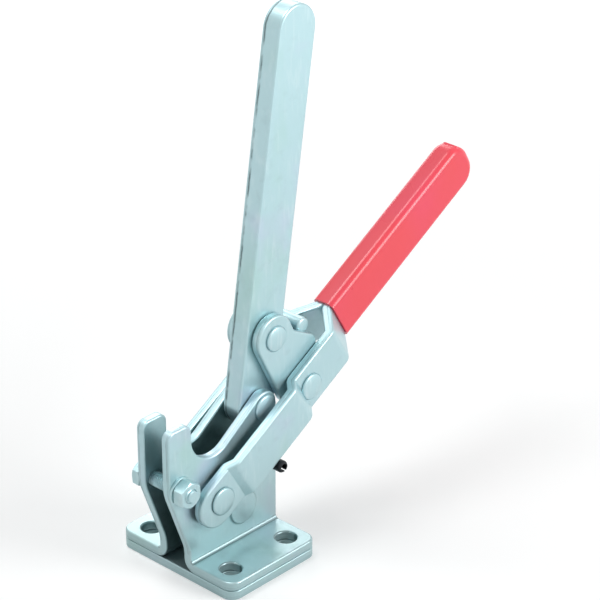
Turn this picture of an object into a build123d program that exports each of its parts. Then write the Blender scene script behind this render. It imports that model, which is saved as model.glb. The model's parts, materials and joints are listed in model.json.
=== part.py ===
"""Toggle clamp with an upright handle and a solid arm, shown with the clamp fully open.

Millimetres. +X is the handle side, -X the clamping side, -Y the near side and +Z is up.
The origin is the middle of the base's underside. The four pivots are:
handle pivot (handle on base), arm pivot (arm on base), crank pivot (link on arm) and
link pivot (link on handle). With the clamp shut the crank pivot lies on the line from
the handle pivot to the link pivot, which is what locks the arm down.
"""
from build123d import *
from math import acos, asin, atan2, cos, degrees, hypot, radians, sin
import os

# ---------------------------------------------------------------- driving dimensions
# sheet, bar and running gaps
side_sheet = 4.0
handle_sheet = 4.0
link_sheet = 4.0
arm_thickness = 9.0
arm_width = 20.0
bar_gap = 0.25          # between the arm's face and the sheet beside it
plate_gap = 0.25        # between the links and the handle plates
pivot_play = 0.05       # radial, a pin in the hole that it turns in
seat_play = 0.02        # radial, a pin in the hole that holds it
head_gap = 0.10         # beside a moving plate, under a rivet head or over a washer

# base
base_length = 48.4
base_width = 62.4
base_thickness = 4.0
base_corner = 5.0
base_edge = 0.6
hole_pitch_x = 31.1
hole_pitch_y = 44.2
mount_hole = 8.5
bend_inside = 1.5

# pivots: where they stand and how big their pins and heads are
handle_pivot_x = -11.4
handle_pivot_z = 33.3
arm_pivot_x = 17.9
arm_pivot_z = 60.7
arm_crank = 28.55       # arm pivot to crank pivot, along the arm
crank_offset = 1.9      # the crank pivot's distance from the arm's middle line
handle_crank = 59.3     # handle pivot to link pivot
link_pivot_drop = 0.6   # the link pivot's distance below the handle's middle line
arm_open_lean = 9.0     # degrees past upright, towards the handle, with the clamp open
handle_pin = 8.0
handle_head = 11.6
arm_pin = 8.0
arm_head = 11.0
crank_pin = 7.0
crank_head = 10.6
link_pin = 7.0
link_head = 11.0
rivet_head_height = 1.5
head_round = 0.6
washer_wall = 3.6
pivot_washer = 1.15

# side plates
horn_height = 69.8
horn_front_x = -34.5
horn_corner = 3.5
waist_low_z = 14.0
waist_high_z = 42.5
waist_round = 18.0
lobe_room = 2.0         # between the link's lobe and the pocket that it drops into
arm_pivot_wall = 2.7    # metal round the arm pivot's hole
rear_shoulder_z = 34.0
boss_x = 4.6
boss_z = 21.7
boss_radius = 7.2
boss_height = 1.2
boss_round = 0.8

# arm
arm_reach = 150.7       # arm pivot to the middle of the round tip
arm_edge = 0.8

# links
crank_lobe = 9.5
link_lobe = 6.6
heel_radius = 5.0       # rounds the link's front corner by the link pivot
heel_reach = 27.4
heel_angle = -73.0
lug_radius = 5.0        # carries the stop pin
lug_reach = 21.0
lug_angle = -29.1
root_radius = 5.0       # where the lug grows out of the link
root_reach = 14.6
root_angle = -41.0
stop_pin_diameter = 6.6
stop_pin_reach = 18.2
stop_pin_length = 13.0
stop_contact_gap = 0.10  # between the stop pin and the arm with the clamp shut
spacer_wall = 2.4

# handle plates, measured along the handle from its pivot and square to it
handle_width = 19.2
butt_extra = 2.4        # the round butt's centre behind the handle pivot
joggle_out = 2.5
near_joggle = 9.7
far_joggle = 50.3
joggle_run = 3.6
bend_radius = 2.6
flare_start = 79.7
flare_end = 89.0
tang_height = 17.4
tang_rise = 0.8
tang_gap = 0.05
tang_end = 180.6
tang_corner = 7.0

# grip
grip_wall = 1.4
grip_mouth = 89.8
grip_round = 3.0
grip_play = 0.02

# pins and fasteners
spring_pin_diameter = 5.0
spring_pin_wall = 1.0
spring_pin_slit = 1.0
spring_pin_stand = 9.2
spring_pin_along = 27.9
spring_pin_drop = 0.3   # between the open handle and the spring pin below it
bolt_x = -29.0
bolt_z = 43.5
bolt_diameter = 6.0
bolt_hole_play = 0.2
bolt_head_flats = 10.0
bolt_head_height = 4.0
bolt_end_chamfer = 0.8
bolt_past_nut = 1.2
nut_height = 5.0
washer_diameter = 11.6
washer_thickness = 1.2

# ---------------------------------------------------------------- worked-out places
side_in = arm_thickness / 2 + bar_gap
side_out = side_in + side_sheet
link_out = side_in + link_sheet
hub_in = side_out + pivot_washer + head_gap
hub_out = hub_in + handle_sheet
yoke_in = max(side_out, link_out) + plate_gap
yoke_out = yoke_in + handle_sheet
flange_top = base_thickness + side_sheet
handle_half = handle_width / 2

handle_pivot = (handle_pivot_x, handle_pivot_z)
arm_pivot = (arm_pivot_x, arm_pivot_z)


def from_point(start, reach, angle):
    """The point at a distance and an angle, in degrees from +X towards +Z, from another."""
    return (start[0] + reach * cos(radians(angle)), start[1] + reach * sin(radians(angle)))


# shut: arm level, crank pivot in line between the handle pivot and the link pivot
crank_reach = hypot(arm_crank, crank_offset)
crank_skew = degrees(atan2(crank_offset, arm_crank))
shut_crank = from_point(arm_pivot, crank_reach, 180 - crank_skew)
shut_reach = hypot(shut_crank[0] - handle_pivot[0], shut_crank[1] - handle_pivot[1])
link_length = handle_crank - shut_reach
handle_shut_angle = degrees(
    atan2(shut_crank[1] - handle_pivot[1], shut_crank[0] - handle_pivot[0])
)

# open: the link pivot is where the handle's and the link's circles cross
arm_open_angle = 90 - arm_open_lean
crank_pivot = from_point(arm_pivot, crank_reach, arm_open_angle - crank_skew)
open_reach = hypot(crank_pivot[0] - handle_pivot[0], crank_pivot[1] - handle_pivot[1])
open_line = degrees(
    atan2(crank_pivot[1] - handle_pivot[1], crank_pivot[0] - handle_pivot[0])
)
open_cosine = (open_reach**2 + handle_crank**2 - link_length**2) / (2 * open_reach * handle_crank)
handle_open_angle = open_line - degrees(acos(open_cosine))
link_pivot = from_point(handle_pivot, handle_crank, handle_open_angle)
link_open_angle = degrees(
    atan2(crank_pivot[1] - link_pivot[1], crank_pivot[0] - link_pivot[0])
)
link_shut_angle = 180 + handle_shut_angle
handle_travel = handle_shut_angle - handle_open_angle
arm_travel = 180 - arm_open_angle
link_travel = link_shut_angle - link_open_angle

# the stop pin comes down on the arm's edge when the clamp is shut
stop_height = arm_width / 2 + stop_pin_diameter / 2 + stop_contact_gap - crank_offset
stop_shut_angle = 180 - degrees(asin(stop_height / stop_pin_reach))
stop_place = from_point(crank_pivot, stop_pin_reach, stop_shut_angle - link_travel)

# seen from the near side, with the sheet's outline drawn as X and Z
side_plane = Plane(origin=(0, 0, 0), x_dir=(1, 0, 0), z_dir=(0, -1, 0))
# the same, turned to the open handle's middle line, with its pivot as the origin
link_pivot_along = (handle_crank**2 - link_pivot_drop**2) ** 0.5
handle_line_angle = handle_open_angle + degrees(atan2(link_pivot_drop, link_pivot_along))
handle_along = (cos(radians(handle_line_angle)), 0, sin(radians(handle_line_angle)))
handle_plane = Plane(
    origin=(handle_pivot_x, 0, handle_pivot_z), x_dir=handle_along, z_dir=(0, -1, 0)
)
# looking up at the handle from below, with the near side as +Y
handle_under = Plane(
    origin=(handle_pivot_x, 0, handle_pivot_z),
    x_dir=handle_along,
    z_dir=(handle_along[2], 0, -handle_along[0]),
)

spring_pin_start = from_point(handle_pivot, spring_pin_along, handle_line_angle)
spring_pin_down = handle_half + spring_pin_drop + spring_pin_diameter / 2
spring_pin_place = from_point(spring_pin_start, -spring_pin_down, handle_line_angle + 90)

print("link length", round(link_length, 4))
print("crank pivot", [round(v, 4) for v in crank_pivot])
print("link pivot", [round(v, 4) for v in link_pivot])
print("stop pin", [round(v, 3) for v in stop_place])
print("handle starts at", round(handle_open_angle, 4), "and turns", round(handle_travel, 4))
print("arm turns", round(arm_travel, 4), "link turns", round(link_travel, 4))
print("spring pin", [round(v, 3) for v in spring_pin_place])

os.makedirs("parts", exist_ok=True)


# ---------------------------------------------------------------- shared piece makers
def round_bar(place, diameter, from_y, to_y):
    """A plain round bar lying along Y."""
    with BuildPart() as bar:
        with BuildSketch(side_plane.offset(-to_y)):
            with Locations(place):
                Circle(diameter / 2)
        extrude(amount=to_y - from_y)
    return bar.part


def tube(place, outer, inner, from_y, to_y):
    """A plain tube lying along Y."""
    with BuildPart() as ring:
        with BuildSketch(side_plane.offset(-to_y)):
            with Locations(place):
                Circle(outer / 2)
                Circle(inner / 2, mode=Mode.SUBTRACT)
        extrude(amount=to_y - from_y)
    return ring.part


def near_head(place, diameter, level):
    """A flat rivet head on the near side, its outer rim rounded."""
    with BuildPart() as head:
        with BuildSketch(side_plane.offset(level)):
            with Locations(place):
                Circle(diameter / 2)
        extrude(amount=rivet_head_height)
        rim = head.edges().filter_by(GeomType.CIRCLE).sort_by(Axis.Y)[0]
        fillet(rim, radius=head_round)
    return head.part


def through_rivet(place, diameter, head_diameter, level):
    """A rivet along Y with a head on each end, the heads' inner faces at a level."""
    with BuildPart() as rivet:
        add(round_bar(place, diameter, -level, level))
        head = near_head(place, head_diameter, level)
        add(head)
        add(mirror(head, about=Plane.XZ))
    return rivet.part


def hexagon(flats, level, height, bore):
    """A hexagon along Y from a level towards the near side, its corners turned off round."""
    with BuildPart() as prism:
        with BuildSketch(side_plane.offset(level)):
            with Locations((bolt_x, bolt_z)):
                RegularPolygon(flats / 2, 6, major_radius=False)
                Circle(flats / 2 * 1.11, mode=Mode.INTERSECT)
        extrude(amount=height)
        if bore:
            with BuildSketch(side_plane.offset(level)):
                with Locations((bolt_x, bolt_z)):
                    Circle(bore / 2)
            extrude(amount=height, mode=Mode.SUBTRACT)
    return prism.part


# ---------------------------------------------------------------- base plate
with BuildPart() as base_plate:
    with BuildSketch():
        RectangleRounded(base_length, base_width, base_corner)
    extrude(amount=base_thickness)
    fillet(base_plate.edges().group_by(Axis.Z)[0], radius=base_edge)
    with BuildSketch():
        with GridLocations(hole_pitch_x, hole_pitch_y, 2, 2):
            Circle(mount_hole / 2)
    extrude(amount=base_thickness, mode=Mode.SUBTRACT)
base_plate.part.label = "base_plate"
export_step(base_plate.part, "parts/base_plate.step")


# ---------------------------------------------------------------- side plates
pocket_radius = crank_lobe + lobe_room
pocket_left_x = shut_crank[0] - pocket_radius
hump_radius = arm_pin / 2 + arm_pivot_wall
ramp_angle = degrees(asin((pocket_radius + hump_radius) / crank_reach)) - crank_skew
rear_x = base_length / 2

with BuildPart() as near_side:
    # one sheet as an L: wall up the middle and foot out to the base's edge
    with BuildSketch(Plane.YZ.offset(horn_front_x)):
        with BuildLine():
            Polyline(
                (-base_width / 2, base_thickness),
                (-side_in, base_thickness),
                (-side_in, horn_height),
                (-side_out, horn_height),
                (-side_out, flange_top),
                (-base_width / 2, flange_top),
                close=True,
            )
        make_face()
    extrude(amount=rear_x - horn_front_x)
    runs = near_side.edges().filter_by(Axis.X)
    outer_bend = runs.sort_by_distance((0, -side_in, base_thickness))[0]
    fillet(outer_bend, radius=bend_inside + side_sheet)
    runs = near_side.edges().filter_by(Axis.X)
    inner_bend = runs.sort_by_distance((0, -side_out, flange_top))[0]
    fillet(inner_bend, radius=bend_inside)
    # the wall's outline: front waist, horn, pocket for the link, hump round the arm pivot
    with BuildSketch(side_plane) as side_outline:
        with BuildLine():
            hump_top = from_point(arm_pivot, hump_radius, ramp_angle + 90)
            hump_rear = (arm_pivot[0] + hump_radius, arm_pivot[1])
            Line(from_point(shut_crank, pocket_radius, ramp_angle - 90), hump_top)
            CenterArc(arm_pivot, hump_radius, 0, ramp_angle + 90)
            Polyline(
                hump_rear,
                (rear_x, rear_shoulder_z),
                (rear_x, base_thickness),
                (-rear_x, base_thickness),
                (-rear_x, waist_low_z),
                (horn_front_x, waist_high_z),
                (horn_front_x, horn_height),
                (pocket_left_x, horn_height),
                (pocket_left_x, shut_crank[1]),
            )
            CenterArc(shut_crank, pocket_radius, 180, ramp_angle + 90)
        make_face()
        horn_tips = side_outline.vertices().group_by(Axis.Y)[-1]
        fillet(horn_tips, radius=horn_corner)
        waist_top = side_outline.vertices().sort_by_distance((horn_front_x, waist_high_z))[0]
        fillet(waist_top, radius=waist_round)
        waist_foot = side_outline.vertices().sort_by_distance((-rear_x, waist_low_z))[0]
        fillet(waist_foot, radius=waist_round)
    extrude(amount=base_width, both=True, mode=Mode.INTERSECT)
    # the foot follows the base plate's outline
    foot_corners = near_side.edges().filter_by(Axis.Z).group_by(Axis.Y)[0]
    fillet(foot_corners, radius=base_corner)
    # round boss pressed out of the wall
    with BuildSketch(side_plane.offset(side_out)):
        with Locations((boss_x, boss_z)):
            Circle(boss_radius)
    extrude(amount=boss_height)
    boss_rim = near_side.edges().filter_by(GeomType.CIRCLE).filter_by(
        lambda rim: abs(rim.center().Y + side_out + boss_height) < 0.01
    )
    fillet(boss_rim, radius=boss_round)
    with BuildSketch(side_plane.offset(side_in)):
        with Locations((boss_x, boss_z)):
            Circle(boss_radius - boss_height)
    extrude(amount=boss_height, mode=Mode.SUBTRACT)
    # holes for the pins and the bolt
    with BuildSketch(side_plane):
        with Locations(handle_pivot):
            Circle(handle_pin / 2 + seat_play)
        with Locations(arm_pivot):
            Circle(arm_pin / 2 + seat_play)
        with Locations((bolt_x, bolt_z)):
            Circle(bolt_diameter / 2 + bolt_hole_play)
        with Locations(spring_pin_place):
            Circle(spring_pin_diameter / 2 + seat_play)
    extrude(amount=base_width, mode=Mode.SUBTRACT)
    # mounting holes through the foot
    with BuildSketch(Plane.XY.offset(base_thickness)):
        with GridLocations(hole_pitch_x, hole_pitch_y, 2, 2):
            Circle(mount_hole / 2)
    extrude(amount=side_sheet, mode=Mode.SUBTRACT)
near_side.part.label = "near_side"
export_step(near_side.part, "parts/near_side.step")

with BuildPart() as far_side:
    add(mirror(near_side.part, about=Plane.XZ))
far_side.part.label = "far_side"
export_step(far_side.part, "parts/far_side.step")


# ---------------------------------------------------------------- pins fixed in the base
with BuildPart() as handle_rivet:
    add(through_rivet(handle_pivot, handle_pin, handle_head, hub_out + head_gap))
handle_rivet.part.label = "handle_rivet"
export_step(handle_rivet.part, "parts/handle_rivet.step")

pin_bore = handle_pin + 2 * seat_play
with BuildPart() as handle_bush:
    add(tube(handle_pivot, handle_pin + 2 * spacer_wall, pin_bore, -side_in, side_in))
handle_bush.part.label = "handle_bush"
export_step(handle_bush.part, "parts/handle_bush.step")

washer_outer = handle_pin + 2 * washer_wall
washer_face = side_out + pivot_washer
with BuildPart() as near_pivot_washer:
    add(tube(handle_pivot, washer_outer, pin_bore, -washer_face, -side_out))
near_pivot_washer.part.label = "near_pivot_washer"
export_step(near_pivot_washer.part, "parts/near_pivot_washer.step")

with BuildPart() as far_pivot_washer:
    add(tube(handle_pivot, washer_outer, pin_bore, side_out, washer_face))
far_pivot_washer.part.label = "far_pivot_washer"
export_step(far_pivot_washer.part, "parts/far_pivot_washer.step")

with BuildPart() as arm_rivet:
    add(through_rivet(arm_pivot, arm_pin, arm_head, side_out))
arm_rivet.part.label = "arm_rivet"
export_step(arm_rivet.part, "parts/arm_rivet.step")

# spring pin: a rolled tube with a slit, standing out past both side plates
pin_reach = side_out + spring_pin_stand
with BuildPart() as spring_pin:
    with BuildSketch(side_plane.offset(-pin_reach)):
        with Locations(spring_pin_place):
            Circle(spring_pin_diameter / 2)
            Circle(spring_pin_diameter / 2 - spring_pin_wall, mode=Mode.SUBTRACT)
        with Locations(from_point(spring_pin_place, spring_pin_diameter / 2, 180)):
            Rectangle(spring_pin_diameter, spring_pin_slit, mode=Mode.SUBTRACT)
    extrude(amount=2 * pin_reach)
spring_pin.part.label = "spring_pin"
export_step(spring_pin.part, "parts/spring_pin.step")


# ---------------------------------------------------------------- horn bolt, washer and nut
nut_face = side_out + washer_thickness
bolt_tip = nut_face + nut_height + bolt_past_nut
bolt_place = (bolt_x, bolt_z)
with BuildPart() as horn_bolt:
    add(hexagon(bolt_head_flats, -(side_out + bolt_head_height), bolt_head_height, 0))
    add(round_bar(bolt_place, bolt_diameter, -bolt_tip, side_out))
    tip_rim = horn_bolt.edges().filter_by(GeomType.CIRCLE).sort_by(Axis.Y)[0]
    chamfer(tip_rim, length=bolt_end_chamfer)
horn_bolt.part.label = "horn_bolt"
export_step(horn_bolt.part, "parts/horn_bolt.step")

with BuildPart() as horn_washer:
    washer_bore = bolt_diameter + 2 * seat_play
    add(tube(bolt_place, washer_diameter, washer_bore, -nut_face, -side_out))
horn_washer.part.label = "horn_washer"
export_step(horn_washer.part, "parts/horn_washer.step")

with BuildPart() as horn_nut:
    add(hexagon(bolt_head_flats, nut_face, nut_height, bolt_diameter + 2 * seat_play))
horn_nut.part.label = "horn_nut"
export_step(horn_nut.part, "parts/horn_nut.step")


# ---------------------------------------------------------------- arm
with BuildPart() as arm:
    with BuildSketch(side_plane):
        with Locations(from_point(arm_pivot, arm_reach / 2, arm_open_angle)):
            SlotCenterToCenter(arm_reach, arm_width, rotation=arm_open_angle)
    extrude(amount=arm_thickness / 2, both=True)
    fillet(arm.faces().filter_by(Axis.Y).edges(), radius=arm_edge)
    with BuildSketch(side_plane):
        with Locations(arm_pivot):
            Circle(arm_pin / 2 + pivot_play)
        with Locations(crank_pivot):
            Circle(crank_pin / 2 + pivot_play)
    extrude(amount=arm_thickness / 2, both=True, mode=Mode.SUBTRACT)
arm.part.label = "arm"
export_step(arm.part, "parts/arm.step")


# ---------------------------------------------------------------- links
heel = from_point(crank_pivot, heel_reach, heel_angle)
lug = from_point(crank_pivot, lug_reach, lug_angle)
root = from_point(crank_pivot, root_reach, root_angle)
with BuildSketch(side_plane.offset(side_in)) as lug_outline:
    with Locations(root):
        Circle(root_radius)
    with Locations(lug):
        Circle(lug_radius)
    with Locations(link_pivot):
        Circle(link_lobe)
    make_hull()
with BuildPart() as near_link:
    with BuildSketch(side_plane.offset(side_in)):
        with Locations(crank_pivot):
            Circle(crank_lobe)
        with Locations(heel):
            Circle(heel_radius)
        with Locations(link_pivot):
            Circle(link_lobe)
        make_hull()
        add(lug_outline.sketch_local)
        with Locations(crank_pivot):
            Circle(crank_pin / 2 + seat_play, mode=Mode.SUBTRACT)
        with Locations(link_pivot):
            Circle(link_pin / 2 + seat_play, mode=Mode.SUBTRACT)
        with Locations(stop_place):
            Circle(stop_pin_diameter / 2 + seat_play, mode=Mode.SUBTRACT)
    extrude(amount=link_sheet)
near_link.part.label = "near_link"
export_step(near_link.part, "parts/near_link.step")

with BuildPart() as far_link:
    add(mirror(near_link.part, about=Plane.XZ))
far_link.part.label = "far_link"
export_step(far_link.part, "parts/far_link.step")

with BuildPart() as crank_rivet:
    add(through_rivet(crank_pivot, crank_pin, crank_head, link_out))
crank_rivet.part.label = "crank_rivet"
export_step(crank_rivet.part, "parts/crank_rivet.step")

with BuildPart() as link_spacer:
    spacer_outer = link_pin + 2 * spacer_wall
    add(tube(link_pivot, spacer_outer, link_pin + 2 * seat_play, -side_in, side_in))
link_spacer.part.label = "link_spacer"
export_step(link_spacer.part, "parts/link_spacer.step")

with BuildPart() as stop_pin:
    add(round_bar(stop_place, stop_pin_diameter, -stop_pin_length / 2, stop_pin_length / 2))
    pin_ends = stop_pin.edges().filter_by(GeomType.CIRCLE)
    chamfer(pin_ends, length=0.5)
stop_pin.part.label = "stop_pin"
export_step(stop_pin.part, "parts/stop_pin.step")


# ---------------------------------------------------------------- handle plates
hub_middle = (hub_in + hub_out) / 2
joggle_middle = hub_middle + joggle_out
yoke_middle = (yoke_in + yoke_out) / 2
tang_middle = tang_gap + handle_sheet / 2
tang_low = tang_rise - tang_height / 2
tang_high = tang_rise + tang_height / 2

with BuildPart() as near_handle:
    # the sheet's bends, seen from below
    with BuildSketch(handle_under):
        with BuildLine() as bends:
            FilletPolyline(
                (-handle_width, hub_middle),
                (near_joggle, hub_middle),
                (near_joggle + joggle_run, joggle_middle),
                (far_joggle, joggle_middle),
                (far_joggle + joggle_run, yoke_middle),
                (flare_start, yoke_middle),
                (flare_end, tang_middle),
                (tang_end + handle_width, tang_middle),
                radius=bend_radius,
            )
        trace(bends.line, line_width=handle_sheet)
    extrude(amount=handle_width, both=True)
    # its outline, seen from the side
    with BuildSketch(handle_plane) as handle_outline:
        with BuildLine():
            CenterArc((-butt_extra, 0), handle_half, 90, 180)
            Polyline(
                (-butt_extra, -handle_half),
                (flare_start, -handle_half),
                (flare_end, tang_low),
                (tang_end, tang_low),
                (tang_end, tang_high),
                (flare_end, tang_high),
                (flare_start, handle_half),
                (-butt_extra, handle_half),
            )
        make_face()
        fillet(handle_outline.vertices().group_by(Axis.X)[-1], radius=tang_corner)
    extrude(amount=base_width, both=True, mode=Mode.INTERSECT)
    with BuildSketch(handle_plane):
        Circle(handle_pin / 2 + pivot_play)
        with Locations((link_pivot_along, -link_pivot_drop)):
            Circle(link_pin / 2 + seat_play)
    extrude(amount=base_width, mode=Mode.SUBTRACT)
    # a spot face where the bend would stand under the link rivet's head
    with BuildSketch(side_plane.offset(yoke_out)):
        with Locations(link_pivot):
            Circle(link_head / 2 + head_gap)
    extrude(amount=joggle_out + handle_sheet, mode=Mode.SUBTRACT)
near_handle.part.label = "near_handle"
export_step(near_handle.part, "parts/near_handle.step")

with BuildPart() as far_handle:
    add(mirror(near_handle.part, about=Plane.XZ))
far_handle.part.label = "far_handle"
export_step(far_handle.part, "parts/far_handle.step")

with BuildPart() as near_link_rivet:
    add(round_bar(link_pivot, link_pin, -yoke_out, -yoke_in))
    add(near_head(link_pivot, link_head, yoke_out))
near_link_rivet.part.label = "near_link_rivet"
export_step(near_link_rivet.part, "parts/near_link_rivet.step")

with BuildPart() as far_link_rivet:
    add(mirror(near_link_rivet.part, about=Plane.XZ))
far_link_rivet.part.label = "far_link_rivet"
export_step(far_link_rivet.part, "parts/far_link_rivet.step")


# ---------------------------------------------------------------- grip
tang_out = tang_gap + handle_sheet
grip_half = tang_out + grip_wall
grip_length = tang_end + grip_wall - grip_mouth
grip_height = tang_height + 2 * grip_wall
with BuildPart() as grip:
    with BuildSketch(handle_plane) as grip_outline:
        with Locations((grip_mouth + grip_length / 2, tang_rise)):
            Rectangle(grip_length, grip_height)
        far_corners = grip_outline.vertices().group_by(Axis.X)[-1]
        fillet(far_corners, radius=tang_corner + grip_wall)
    extrude(amount=grip_half, both=True)
    grip_rims = grip.edges().filter_by(lambda rim: abs(abs(rim.center().Y) - grip_half) < 0.01)
    mouth_rims = grip_rims.filter_by(
        lambda rim: abs(handle_plane.to_local_coords(rim.center()).X - grip_mouth) < 0.01
    )
    fillet(grip_rims - mouth_rims, radius=grip_round)
    # the pocket that the two tangs fill
    with BuildSketch(handle_plane) as grip_pocket:
        with Locations(((grip_mouth + tang_end) / 2, tang_rise)):
            Rectangle(tang_end - grip_mouth + 2 * grip_play, tang_height + 2 * grip_play)
        fillet(grip_pocket.vertices().group_by(Axis.X)[-1], radius=tang_corner)
    extrude(amount=tang_out + grip_play, both=True, mode=Mode.SUBTRACT)
grip.part.label = "grip"
export_step(grip.part, "parts/grip.step")
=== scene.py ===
"""Dresses a toggle clamp: rounded sheet metal, rivets, bolt, roll pin and dipped grip."""

import json
from functools import cache
from math import acos, atan2, cos, pi, radians, sin, tan

import bpy
from mathutils import Matrix, Vector

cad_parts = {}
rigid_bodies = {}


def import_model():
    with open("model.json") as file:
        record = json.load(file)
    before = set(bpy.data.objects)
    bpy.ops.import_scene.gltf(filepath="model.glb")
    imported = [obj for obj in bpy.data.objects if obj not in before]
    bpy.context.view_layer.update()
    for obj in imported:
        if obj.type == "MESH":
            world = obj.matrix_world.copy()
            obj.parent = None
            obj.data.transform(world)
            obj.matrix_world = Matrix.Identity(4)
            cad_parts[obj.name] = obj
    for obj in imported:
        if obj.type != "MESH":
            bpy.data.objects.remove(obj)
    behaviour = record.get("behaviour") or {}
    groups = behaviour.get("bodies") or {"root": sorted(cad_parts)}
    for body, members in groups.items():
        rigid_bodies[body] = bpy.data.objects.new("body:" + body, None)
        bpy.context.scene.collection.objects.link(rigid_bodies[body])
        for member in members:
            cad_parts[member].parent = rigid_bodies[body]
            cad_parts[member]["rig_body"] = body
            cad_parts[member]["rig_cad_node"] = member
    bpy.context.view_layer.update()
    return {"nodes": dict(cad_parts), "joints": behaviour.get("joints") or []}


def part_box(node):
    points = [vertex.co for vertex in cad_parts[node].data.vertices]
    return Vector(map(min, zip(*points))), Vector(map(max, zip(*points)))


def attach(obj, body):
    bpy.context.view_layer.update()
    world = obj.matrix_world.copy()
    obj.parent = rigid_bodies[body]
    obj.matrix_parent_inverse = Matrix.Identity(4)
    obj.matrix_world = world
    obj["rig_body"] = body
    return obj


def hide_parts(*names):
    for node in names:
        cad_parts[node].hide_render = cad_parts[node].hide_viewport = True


bl_info = {
    "name": "Toggle clamp pieces",
    "version": (1, 0, 0),
    "blender": (4, 5, 0),
    "location": "View3D > Sidebar > Clamp",
    "description": "Models the clamp's plates, arm, links, rivets, bolt, pins and grip",
    "category": "Object",
}

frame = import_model()

MM = 0.001
ACROSS = Vector((0, 1, 0))


def joint_place(name):
    """Where a joint's axis crosses the middle of the clamp."""
    for joint in frame["joints"]:
        if joint["name"] == name:
            return Vector(joint["pos_m"])
    raise ValueError(f"the frame has no joint named {name}")


def box_centre(node):
    low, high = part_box(node)
    return (low + high) / 2


def box_size(node):
    low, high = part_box(node)
    return high - low


def on_middle(place):
    """The same place on the clamp's middle plane."""
    return Vector((place.x, 0, place.z))


def heading(turn):
    """The direction at an angle up from +X, in the plane that the clamp moves in."""
    return Vector((cos(turn), 0, sin(turn)))


HANDLE_PIVOT = joint_place("handle_pivot")
ARM_PIVOT = joint_place("arm_pivot")
CRANK_PIVOT = joint_place("crank_pivot")
LINK_PIVOT = on_middle(box_centre("near_link_rivet"))

# ---------------------------------------------------------------- fixed sizes
# The link's corners, as a reach and an angle in degrees from the crank pivot.
LINK_HEEL = (27.4 * MM, -73)
LUG_ROOT = (11.8 * MM, -30.5)
LUG_TIP = (21.0 * MM, -29.1)
LINK_CORNER = 5 * MM
LINK_EYE = 6.6 * MM

# A handle plate's middle starts beside the pivot and shifts outward at each bend, which has a
# begin and an end along the handle.
PLATE_THICKNESS = 4 * MM
PLATE_START = 12 * MM
PLATE_BENDS = (
    (9.7 * MM, 13.3 * MM, 2.5 * MM),
    (50.3 * MM, 53.9 * MM, -3.5 * MM),
    (79.7 * MM, 89.0 * MM, -8.95 * MM),
)

# The grip's two ends along the handle, its height and how far its middle lies above the handle's.
GRIP_MOUTH = 89.8 * MM
GRIP_TIP = 182.02 * MM
GRIP_HEIGHT = 20.24 * MM
GRIP_RISE = 0.8 * MM

# How far round a bore or a spot face the edges stay sharp.
BORE_REACH = 5 * MM
SPOT_FACE_REACH = 8.5 * MM

# A drill's length, a pin's play in its hole, and the turn in degrees that makes an edge sharp.
DRILL_LENGTH = 40 * MM
RUNNING_FIT = 0.04 * MM
SHARP_ANGLE = 35

BOLT_RADIUS = 3 * MM
NUT_BORE = 6.04 * MM
HEXAGON_ROUND = 0.12 * MM

# ---------------------------------------------------------------- stage
CAMERA_TARGET = Vector((0.04734, 0, 0.09393))
CAMERA_BEARING = radians(-46.94)
CAMERA_RISE = radians(26.536)
CAMERA_DISTANCE = 0.95088
SENSOR_WIDTH = 36
FOCAL_PIXELS = 2408.36
FRAME_PIXELS = 600

LAMP_AIM = Vector((0.03, 0, 0.09))
LAMPS = (
    # name, place, size and power
    ("key_lamp", (0.6, -1.35, 0.65), 0.7, 17.0),
    ("top_lamp", (-0.3, 0.4, 1.4), 0.6, 11.0),
    ("back_lamp", (0.85, 1.2, 0.7), 0.8, 6.0),
    ("side_lamp", (-1.3, -0.3, 0.4), 0.8, 0.5),
)
SOFT_WORLD = 0.15
FLOOR_SIZE = 6
FLOOR_WHITE = (0.62, 0.63, 0.63, 1)
# The floor's glow, as a distance in metres and a strength.
FLOOR_GLOW_NEAR = (0.25, 0.42)
FLOOR_GLOW_FAR = (1.2, 0.92)

# ---------------------------------------------------------------- wear and painted shade
ZINC_METALLIC = 0.62
OXIDE_METALLIC = 0.6
DULL_SPOT = (0.20, 0.28, 0.30, 1)
RUBBED_ZINC = (0.82, 0.90, 0.92, 1)
# Painted shade that the plating darkens to near the floor.
FOOT_PAINTED_SHADE = (0.30, 0.41, 0.41, 1)
BROKEN_RIM = (0.30, 0.43, 0.45, 1)
TORN_RIM = (0.10, 0.15, 0.16, 1)
# Painted shade laid along the bend above an upright's foot.
BEND_PAINTED_SHADE = (0.12, 0.18, 0.19, 1)
WORN_OXIDE = (0.10, 0.11, 0.12, 1)
# Painted shade on the inner sides of the plates: where it centres and how strongly it darkens
# them.
PAINTED_SHADE_MIDDLE = (0.005, 0, 0.028)
PAINTED_SHADE_SHARE = 0.85

# How a sheared rim broke: its torn line's depth, how far the line wanders and how dark it is.
STANDING_TEAR = (0.66, 0.2, 0.4)
LYING_TEAR = (0.6, 0.2, 0.12)
BAR_TEAR = (0.82, 0.1, 0.9)
BENT_TEAR = (0.62, 0.2, 0.4)


# ---------------------------------------------------------------- settings
def length(name, description, millimetres):
    """A size that a user can change."""
    return bpy.props.FloatProperty(
        name=name, description=description, default=millimetres * MM, unit="LENGTH"
    )


def tint(name, description, default):
    """A colour that a user can change."""
    return bpy.props.FloatVectorProperty(
        name=name, description=description, default=default, subtype="COLOR"
    )


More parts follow.
